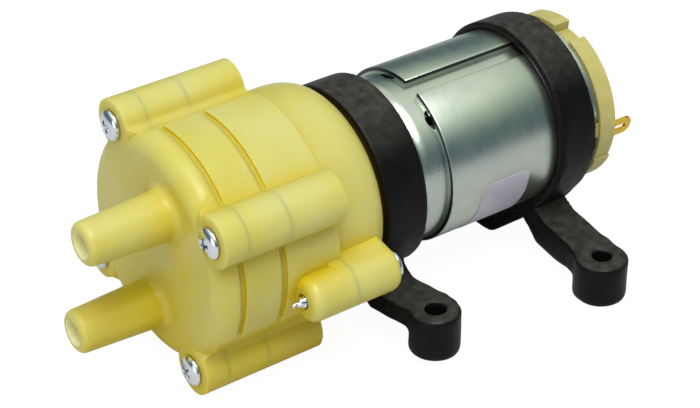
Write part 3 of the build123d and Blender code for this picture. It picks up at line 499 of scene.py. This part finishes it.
def dress_cad_nodes():
    """Gives every carried-over piece its finish by the record's material slot."""
    finishes = {
        "nylon": nylon(),
        "bell_nylon": bell_nylon(),
        "zinc_steel": zinc_steel("zinc_steel"),
        "mount_rubber": mount_rubber(),
        "screw_steel": screw_steel(),
        "brass": tab_brass(),
        "label_paper": label_paper(),
        "white_acetal": simple("white_acetal", (0.78, 0.78, 0.74), (0.72, 0.72, 0.66), 0.35),
        "seal_rubber": simple("seal_rubber", (0.02, 0.02, 0.022), (0.032, 0.03, 0.03), 0.6, grain=1.5),
        "bright_steel": simple("ground_steel", (0.70, 0.71, 0.72), (0.62, 0.63, 0.65), 0.2, 1.0, grain=4.0),
        "core_steel": simple("core_steel", (0.32, 0.33, 0.35), (0.25, 0.24, 0.24), 0.4, 1.0, grain=3.0),
        "ferrite": simple("ferrite", (0.07, 0.07, 0.075), (0.10, 0.10, 0.10), 0.7, grain=2.0, depth=0.03),
        "bearing_bronze": simple("oiled_bronze", (0.46, 0.31, 0.15), (0.36, 0.24, 0.12), 0.4, 1.0),
        "copper": simple("copper", (0.72, 0.34, 0.18), (0.60, 0.26, 0.13), 0.3, 1.0, grain=3.0),
        "dark_resin": simple("dark_resin", (0.10, 0.055, 0.035), (0.07, 0.04, 0.03), 0.5),
        "carbon": simple("carbon", (0.03, 0.03, 0.032), (0.05, 0.05, 0.05), 0.55),
    }
    for part in frame["record"]["subparts"]:
        materials = nodes[part["node"]].data.materials
        materials.clear()
        materials.append(finishes[part["material_slot"]])
    # The sheet round the can, with painted shade on its edge faces
    finishes["zinc_sheet"] = zinc_steel("zinc_sheet", with_edge_shade=True)
    nodes["flux_ring"].data.materials[0] = finishes["zinc_sheet"]
    return finishes


def smooth(obj, angle=35.0):
    """Smooth shading, split at edges sharper than the angle."""
    for polygon in obj.data.polygons:
        polygon.use_smooth = True
    obj.data.set_sharp_from_angle(angle=math.radians(angle))


def new_object(name, mesh, material):
    """An object in the scene, with its finish as its last material slot."""
    obj = bpy.data.objects.new(name, mesh)
    scene.collection.objects.link(obj)
    obj.data.materials.append(material)
    return obj


def copy_of(node_name, name, finish):
    """A copy of a CAD node's mesh as a piece of its own, with one finish."""
    mesh = nodes[node_name].data.copy()
    mesh.materials.clear()
    return new_object(name, mesh, finish)


def welded_form(mesh):
    """A mesh as a form to edit, with its split vertices joined."""
    form = bmesh.new()
    form.from_mesh(mesh)
    bmesh.ops.remove_doubles(form, verts=form.verts, dist=WELD)
    return form


def mesh_of(form, name):
    """A closed form as a new mesh, with its faces turned outward."""
    bmesh.ops.recalc_face_normals(form, faces=form.faces)
    mesh = bpy.data.meshes.new(name)
    form.to_mesh(mesh)
    form.free()
    return mesh


def apply_modifiers(obj):
    """Bakes an object's modifiers into its mesh."""
    depsgraph = bpy.context.evaluated_depsgraph_get()
    baked = bpy.data.meshes.new_from_object(obj.evaluated_get(depsgraph))
    obj.modifiers.clear()
    obj.data = baked


def clamp(value, low=0.0, high=1.0):
    return max(low, min(high, value))


def ease(value):
    """A smooth step from 0 to 1."""
    t = clamp(value)
    return t * t * (3 - 2 * t)


def rise(value, start, width):
    """A straight step from 0 to 1, which begins at start."""
    return clamp((value - start) / width)


def smooth_rise(value, start, width):
    """A smooth step from 0 to 1, which begins at start."""
    return ease((value - start) / width)


def from_axis(p):
    """How far a point is from the pump axis."""
    return math.hypot(p.y, p.z - axis_height)


def between(points, value):
    """The height of a line through (place, height) points at a place, held at its ends."""
    for (x0, y0), (x1, y1) in zip(points, points[1:]):
        if value < x1:
            return y0 + (y1 - y0) * ease((value - x0) / (x1 - x0))
    return points[-1][1]


def soft_mount(node_name, give):
    """A rubber mount as the soft thing it is: rounded edges, sagging legs and feet, uneven moulding."""
    obj = copy_of(node_name, node_name + "_rubber", finishes["mount_rubber"])
    remesh = obj.modifiers.new("remesh", "REMESH")
    remesh.mode = "VOXEL"
    remesh.voxel_size = RUBBER_VOXEL
    rounding = obj.modifiers.new("rounding", "CORRECTIVE_SMOOTH")
    rounding.factor = 0.6
    rounding.iterations = 3
    rounding.smooth_type = "SIMPLE"
    rounding.use_only_smooth = True
    apply_modifiers(obj)
    low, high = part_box(node_name)
    foot_x = math.copysign(foot_pitch / 2, low[0] + high[0])
    band_r = max(v.co.z for v in obj.data.vertices) - axis_height
    normals = [v.normal.copy() for v in obj.data.vertices]
    for vertex, normal in zip(obj.data.vertices, normals):
        vertex.co += mount_shift(vertex.co, normal, give, foot_x, band_r)
    smooth(obj, 180.0)
    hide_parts(node_name)
    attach(obj, "pump")


def mount_shift(p, normal, give, foot_x, band_r):
    """How far a point of a mount gives way."""
    out = abs(p.y)
    outside = from_axis(p) - band_r
    below = rise(axis_height - p.z, *UNDER_BAND)
    bend = below * smooth_rise(out, LEG_ROOT, foot_spread / 2 - LEG_ROOT)
    leg = below * smooth_rise(out, *LEG)
    side = math.copysign(1.0, p.y)
    shift = Vector((give["sag"].x * bend - BAND_SHIFT * leg * (1 - bend), side * -give["sag"].y * bend,
                    give["sag"].z * bend))
    shift.z += leg_line(out, normal, give) * below * rise(outside, *BAND_SKIN)
    shift += foot_form(p, side, give["foot_scale"], foot_x)
    shift += band_wall(p, give, leg) * rise(outside, *BAND_WALL)
    shift += heel_fold(p) * give["heel"] * rise(outside, *HEEL_SKIN) * below
    shift += noise.noise_vector(p / UNEVEN_SIZE) * (BAND_UNEVEN + LEG_UNEVEN * leg)
    shift.z = max(shift.z, FLOOR_Z - p.z)
    return shift


def leg_line(out, normal, give):
    """How far a leg's top or underside lies above its straight place, by which way the point looks."""
    top, under = (between(give[key], out / mm) for key in ("top", "under"))
    upward = clamp(STEEPNESS * normal.z, -1.0)
    return ((top + under) / 2 + upward * (top - under) / 2) * mm


def foot_form(p, side, scale, foot_x):
    """The foot's own width round its hole, and the worn rim on its outside."""
    across, along = p.x - foot_x, abs(p.y) - foot_spread / 2
    from_hole = math.hypot(across, along)
    if from_hole >= FOOT_ZONE:
        return Vector((0.0, 0.0, 0.0))
    swell = scale - 1 if from_hole > FOOT_HOLE_ZONE else 1 - scale
    swell *= 1 - smooth_rise(from_hole, *SWELL_END)
    free = 1 - smooth_rise(-along, *RIM_OF_LEG)
    worn = smooth_rise(from_hole, *RIM_ACROSS) * smooth_rise(p.z, *RIM_UP)
    return Vector((across * swell, side * along * swell, -RIM_WEAR * free * worn))


def band_wall(p, give, leg):
    """The band's uneven wall: thinner or thicker at the far top and the near underside."""
    spoke = Vector((0.0, p.y, p.z - axis_height)).normalized()
    far_top = smooth_rise(spoke.y, *FAR_SIDE) * smooth_rise(spoke.z, *TOP_SIDE)
    near_low = smooth_rise(-spoke.y, *NEAR_LOW_SIDE) * smooth_rise(-spoke.z, *NEAR_LOW_SIDE) * (1 - leg)
    return spoke * (give["far_top_wall"] * far_top + give["near_low_wall"] * near_low)


def heel_fold(p):
    """The far leg's heel, folded in and down to the floor beside the band."""
    fold = smooth_rise(p.y, *HEEL_START) * (1 - smooth_rise(p.y, *HEEL_END))
    return Vector((0.0, -HEEL_IN * fold, -HEEL_DOWN * fold * smooth_rise(p.y, *HEEL_SINK)))


def turned(name, stations, thread=None, steps=48):
    """A closed turned form on the Z axis from (height, radius) pairs.

    thread is its start and end height, its pitch and its depth."""
    form = bmesh.new()
    rings = []
    for z, radius in stations:
        ring = []
        for i in range(steps):
            turn = i / steps
            r = radius
            if thread and thread[0] >= z >= thread[1]:
                r -= thread[3] * abs(2 * ((z / thread[2] + turn) % 1.0) - 1)
            angle = 2 * math.pi * turn
            ring.append(form.verts.new((r * math.cos(angle), r * math.sin(angle), z)))
        rings.append(ring)
    for first, second in zip(rings, rings[1:]):
        for i in range(steps):
            j = (i + 1) % steps
            form.faces.new((first[i], first[j], second[j], second[i]))
    form.faces.new(reversed(rings[0]))
    form.faces.new(rings[-1])
    return mesh_of(form, name)


def cross_cutter(name, top, head_r):
    """One tapered wing of a cross recess, as a cutter that points down from the head's top."""
    reach, width = RECESS_REACH * head_r, RECESS_WIDTH * head_r
    floor_z = top - RECESS_DEPTH * top
    form = bmesh.new()
    corners = [(sx * reach, sy * width / 2) for sx, sy in ((-1, -1), (1, -1), (1, 1), (-1, 1))]
    upper = [form.verts.new((x, y, top + RECESS_ABOVE)) for x, y in corners]
    lower = [form.verts.new((x * RECESS_TAPER, y * RECESS_THINNING, floor_z)) for x, y in corners]
    form.faces.new(upper)
    form.faces.new(reversed(lower))
    for i in range(4):
        j = (i + 1) % 4
        form.faces.new((upper[i], lower[i], lower[j], upper[j]))
    return mesh_of(form, name)


def islands(node):
    """The separate solids of a node, each as the list of its vertices' places."""
    form = welded_form(node.data)
    left = set(form.verts)
    found = []
    while left:
        edge = [left.pop()]
        members = []
        while edge:
            vert = edge.pop()
            members.append(vert.co.copy())
            for link in vert.link_edges:
                other = link.other_vert(vert)
                if other in left:
                    left.remove(other)
                    edge.append(other)
        found.append(members)
    form.free()
    return sorted(found, key=lambda places: (round(places[0].y, 4), round(places[0].z, 4)))


def pan_screw(name, places, drive_turn, pointed):
    """A cross-recess pan head screw with a rolled thread, in the place of a plain CAD screw."""
    y = (max(p.y for p in places) + min(p.y for p in places)) / 2
    z = (max(p.z for p in places) + min(p.z for p in places)) / 2
    radii = [math.hypot(p.y - y, p.z - z) for p in places]
    head_r = max(radii)
    wide = [p.x for p, r in zip(places, radii) if r > HEAD_RIM * head_r]
    low, high = min(p.x for p in places), max(p.x for p in places)
    faces_back = high - max(wide) < min(wide) - low
    seat, tip, top = (min(wide), low, high) if faces_back else (max(wide), high, low)
    head, length = abs(top - seat), abs(tip - seat)
    shank_r = SHANK_R * (POINTED_SHANK if pointed else 1.0)
    point, left = (POINT_LENGTH, POINT_LEFT) if pointed else (BLUNT_LENGTH, BLUNT_LEFT)
    rows = int(length / (THREAD_PITCH / THREAD_ROWS))
    shank = [(-length * i / rows, shank_r * clamp((length - length * i / rows) / point, left))
             for i in range(rows, -1, -1)]
    dome = [(head * h, head_r * r) for h, r in HEAD_PROFILE]
    body = turned(name, shank + dome, (-THREAD_START, -length, THREAD_PITCH, THREAD_DEPTH))
    obj = new_object(name, body, finishes["screw_steel"])
    for turn in (0.0, math.pi / 2):
        wing = new_object(name + "_cutter", cross_cutter(name, head, head_r), finishes["screw_steel"])
        wing.rotation_euler.z = turn + drive_turn
        cut = obj.modifiers.new("recess", "BOOLEAN")
        cut.operation = "DIFFERENCE"
        cut.solver = "EXACT"
        cut.object = wing
    bpy.context.view_layer.update()
    apply_modifiers(obj)
    for wing in [o for o in scene.objects if o.name.startswith(name + "_cutter")]:
        bpy.data.objects.remove(wing)
    place = Matrix.Rotation(math.radians(90 if faces_back else -90), 4, "Y")
    place.translation = (seat, y, z)
    obj.data.transform(place)
    smooth(obj, 32.0)
    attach(obj, "pump")
    return obj


def screws(node_name, pointed, turns):
    """The screws of one node, each with its cross recess turned as it happened to end up."""
    made = [pan_screw(f"{node_name}_{i}", places, math.radians(turn), pointed)
            for i, (places, turn) in enumerate(zip(islands(nodes[node_name]), turns))]
    for obj in made:
        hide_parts(node_name)


def drawn_can():
    """The motor can with the round shoulder that drawing left at its front end."""
    obj = copy_of("motor_can", "drawn_can", finishes["zinc_steel"])
    start = sheet_front_x - SHOULDER_GAP
    form = welded_form(obj.data)
    for step in range(SHOULDER_STEPS):
        bmesh.ops.bisect_plane(form, geom=form.verts[:] + form.edges[:] + form.faces[:], dist=WELD / 10,
                               plane_co=(start - SHOULDER_STEP * step, 0, 0), plane_no=(1, 0, 0))
    for vertex in form.verts:
        radius = from_axis(vertex.co)
        reach = clamp((start - vertex.co.x) / SHOULDER_R)
        if reach > 0 and radius > can_r - OUTER_SKIN:
            wanted = can_r - min(SHOULDER_DROP, SHOULDER_R * (1 - math.sqrt(1 - reach * reach)))
            scale = min(1.0, wanted / radius)
            vertex.co.y *= scale
            vertex.co.z = axis_height + (vertex.co.z - axis_height) * scale
    form.to_mesh(obj.data)
    form.free()
    smooth(obj)
    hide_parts("motor_can")
    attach(obj, "pump")


def wrapped_sheet(name, rows, columns, place, thickness, finish):
    """A thin sheet round the pump axis.

    place gives x, clock angle and radius for two shares, along the axis and across the sheet."""
    form = bmesh.new()
    grid = []
    for i in range(rows + 1):
        row = []
        for j in range(columns + 1):
            x, angle, r = place(i / rows, j / columns)
            row.append(form.verts.new((x, -r * math.sin(angle), axis_height + r * math.cos(angle))))
        grid.append(row)
    for i in range(rows):
        for j in range(columns):
            form.faces.new((grid[i][j], grid[i][j + 1], grid[i + 1][j + 1], grid[i + 1][j]))
    obj = new_object(name, mesh_of(form, name), finish)
    sheet = obj.modifiers.new("sheet", "SOLIDIFY")
    sheet.thickness = thickness
    sheet.offset = 0.0
    apply_modifiers(obj)
    smooth(obj)
    return obj


def vent_louvre(name, clock):
    """The can's wall beside a vent, pressed inward so that only a narrow slit stays open by the sheet."""
    def place(length, width):
        along = 2 * width - 1
        x = sheet_front_x - VENT_START + (VENT_START - VENT_SLIT) * length
        sink = VENT_SINK * ease(length) * (1 - VENT_FLATTER_ENDS * along * along)
        return x, math.radians(clock + VENT_HALF_ANGLE * along), can_r - VENT_UNDER - sink

    obj = wrapped_sheet(name, 10, 20, place, VENT_SHEET, finishes["zinc_steel"])
    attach(obj, "pump")


def sheet_round_can():
    """The sheet wrapped round the motor can, with rolled-over edges."""
    obj = copy_of("flux_ring", "can_sheet", finishes["zinc_sheet"])
    form = welded_form(obj.data)
    bmesh.ops.dissolve_limit(form, angle_limit=math.radians(0.5), verts=form.verts, edges=form.edges)
    outer = [e for e in form.edges if len(e.link_faces) == 2 and e.calc_face_angle() > math.radians(60)
             and all(from_axis(v.co) > sheet_r - EDGE_SKIN for v in e.verts)]
    bmesh.ops.bevel(form, geom=outer, offset=ROLLED_EDGE, segments=3, profile=0.5, affect="EDGES")
    form.to_mesh(obj.data)
    form.free()
    smooth(obj)
    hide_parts("flux_ring")
    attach(obj, "pump")


def label_film():
    """The bare label: a thin film with rounded corners, wrapped on the sheet round the motor."""
    low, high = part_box("motor_label")
    angles = [math.atan2(-v.co.y, v.co.z - axis_height) for v in nodes["motor_label"].data.vertices]
    middle, half = (min(angles) + max(angles)) / 2, (max(angles) - min(angles)) / 2

    def place(length, width):
        x = low[0] + (high[0] - low[0]) * length
        depth = max(0.0, LABEL_CORNER - min(x - low[0], high[0] - x))
        inset = (LABEL_CORNER - math.sqrt(max(0.0, LABEL_CORNER ** 2 - depth ** 2))) / sheet_r
        angle = middle + (half - inset) * (2 * width - 1)
        wrinkle = LABEL_WRINKLE * noise.noise(Vector((x / WRINKLE_SIZE, angle * WRINKLES_ROUND, 0.0)))
        return x, angle, sheet_r + LABEL_LIFT + abs(wrinkle)

    obj = wrapped_sheet("label_film", 40, 72, place, LABEL_FILM, finishes["label_paper"])
    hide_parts("motor_label")
    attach(obj, "pump")


def camera():
    """The photograph's view."""
    level = math.cos(CAMERA_RISE)
    back = Vector((-math.sin(CAMERA_TURN) * level, -math.cos(CAMERA_TURN) * level, math.sin(CAMERA_RISE)))
    right = Vector((math.cos(CAMERA_TURN), -math.sin(CAMERA_TURN), 0.0))
    up = back.cross(right)
    data = bpy.data.cameras.new("camera")
    data.lens = CAMERA_LENS
    data.sensor_width = 36.0
    data.sensor_fit = "HORIZONTAL"
    data.shift_x, data.shift_y = CAMERA_SHIFT
    data.clip_start = 0.01
    obj = bpy.data.objects.new("camera", data)
    target = Vector((CAMERA_TARGET_X, 0.0, axis_height))
    place = Matrix((right, up, back)).transposed().to_4x4()
    place.translation = target + CAMERA_DISTANCE * back
    obj.matrix_world = place
    scene.collection.objects.link(obj)
    scene.camera = obj


def empty_tree(owner):
    """The node tree of a material or world, with nothing in it."""
    owner.use_nodes = True
    owner.node_tree.nodes.clear()
    return owner.node_tree


def floor():
    """A pale floor that keeps a soft shadow and otherwise melts into the white background."""
    bpy.ops.mesh.primitive_plane_add(size=6.0, location=(0, 0, FLOOR_Z))
    obj = bpy.context.object
    obj.name = "floor"
    material = bpy.data.materials.new("floor_white")
    tree = empty_tree(material)
    out = tree.nodes.new("ShaderNodeOutputMaterial")
    mix = tree.nodes.new("ShaderNodeMixShader")
    matte = tree.nodes.new("ShaderNodeBsdfDiffuse")
    matte.inputs["Color"].default_value = (*FLOOR_GREY, 1)
    glow = tree.nodes.new("ShaderNodeEmission")
    glow.inputs["Strength"].default_value = FLOOR_GLOW
    path = tree.nodes.new("ShaderNodeLightPath")
    share = tree.nodes.new("ShaderNodeMath")
    share.operation = "MULTIPLY"
    share.inputs[1].default_value = FLOOR_GLOW_SHARE
    tree.links.new(path.outputs["Is Camera Ray"], share.inputs[0])
    tree.links.new(share.outputs[0], mix.inputs["Fac"])
    tree.links.new(matte.outputs[0], mix.inputs[1])
    tree.links.new(glow.outputs[0], mix.inputs[2])
    tree.links.new(mix.outputs[0], out.inputs["Surface"])
    obj.data.materials.append(material)


def world():
    """White to the camera, to reflections and through glass, and a plain soft light to everything else."""
    made = bpy.data.worlds.new("studio")
    scene.world = made
    tree = empty_tree(made)
    out = tree.nodes.new("ShaderNodeOutputWorld")
    background = tree.nodes.new("ShaderNodeBackground")
    path = tree.nodes.new("ShaderNodeLightPath")
    seen = tree.nodes.new("ShaderNodeMath")
    seen.operation = "MAXIMUM"
    any_seen = tree.nodes.new("ShaderNodeMath")
    any_seen.operation = "MAXIMUM"
    strength = tree.nodes.new("ShaderNodeMapRange")
    strength.inputs["To Min"].default_value = WORLD_ON_OBJECT
    strength.inputs["To Max"].default_value = WORLD_SEEN
    tree.links.new(path.outputs["Is Camera Ray"], seen.inputs[0])
    tree.links.new(path.outputs["Is Glossy Ray"], seen.inputs[1])
    tree.links.new(seen.outputs[0], any_seen.inputs[0])
    tree.links.new(path.outputs["Is Transmission Ray"], any_seen.inputs[1])
    tree.links.new(any_seen.outputs[0], strength.inputs["Value"])
    tree.links.new(strength.outputs["Result"], background.inputs["Strength"])
    tree.links.new(background.outputs[0], out.inputs["Surface"])


def softbox(name, place, target, size, power):
    """A square soft light."""
    data = bpy.data.lights.new(name, "AREA")
    data.shape = "SQUARE"
    data.size = size
    data.energy = power
    obj = bpy.data.objects.new(name, data)
    obj.location = place
    direction = Vector(target) - Vector(place)
    obj.rotation_euler = direction.to_track_quat("-Z", "Y").to_euler()
    scene.collection.objects.link(obj)


def dark_surround():
    """A dim ring of cards, seen only in reflections, that gives the metal its dark bands from every side."""
    mesh = bpy.data.meshes.new("surround")
    form = bmesh.new()
    bmesh.ops.create_cone(form, segments=64, radius1=SURROUND_R, radius2=SURROUND_R,
                          depth=SURROUND_HIGH - SURROUND_LOW, cap_ends=False)
    bmesh.ops.translate(form, verts=form.verts, vec=(0, 0, (SURROUND_LOW + SURROUND_HIGH) / 2))
    form.to_mesh(mesh)
    form.free()
    material = bpy.data.materials.new("dim_card")
    tree = empty_tree(material)
    out = tree.nodes.new("ShaderNodeOutputMaterial")
    glow = tree.nodes.new("ShaderNodeEmission")
    place = tree.nodes.new("ShaderNodeTexCoord")
    split = tree.nodes.new("ShaderNodeSeparateXYZ")
    fade = tree.nodes.new("ShaderNodeMapRange")
    fade.inputs["From Min"].default_value, fade.inputs["From Max"].default_value = SURROUND_FADE
    shade = tree.nodes.new("ShaderNodeMix")
    shade.data_type = "RGBA"
    shade.inputs[6].default_value = (*SURROUND_DIM, 1)
    shade.inputs[7].default_value = (*SURROUND_BRIGHT, 1)
    tree.links.new(place.outputs["Object"], split.inputs[0])
    tree.links.new(split.outputs["Z"], fade.inputs["Value"])
    tree.links.new(fade.outputs["Result"], shade.inputs["Factor"])
    tree.links.new(shade.outputs[2], glow.inputs["Color"])
    tree.links.new(glow.outputs[0], out.inputs["Surface"])
    obj = new_object("dark_surround", mesh, material)
    obj.visible_camera = False
    obj.visible_diffuse = False
    obj.visible_transmission = False
    obj.visible_shadow = False


# Noise vectors differ from run to run unless they are seeded
noise.seed_set(UNEVEN_SEED)

finishes = dress_cad_nodes()
for node in nodes.values():
    smooth(node)
soft_mount("front_mount", FRONT_GIVE)
soft_mount("rear_mount", REAR_GIVE)
screws("cover_screws", pointed=False, turns=(12, 57, 33, 80))
screws("ear_screws", pointed=True, turns=(20, 65))
drawn_can()
for count, vent_clock in enumerate(VENT_CLOCKS):
    vent_louvre(f"vent_louvre_{count}", vent_clock)
sheet_round_can()
label_film()
camera()
floor()
world()
dark_surround()
softbox("key", place=(-0.15, -0.25, 0.75), target=(0, 0, 0.02), size=0.5, power=6.0)
softbox("fill", place=(-0.60, -0.20, 0.14), target=(-0.04, 0, 0.02), size=0.4, power=0.8)
scene.view_settings.view_transform = "Standard"
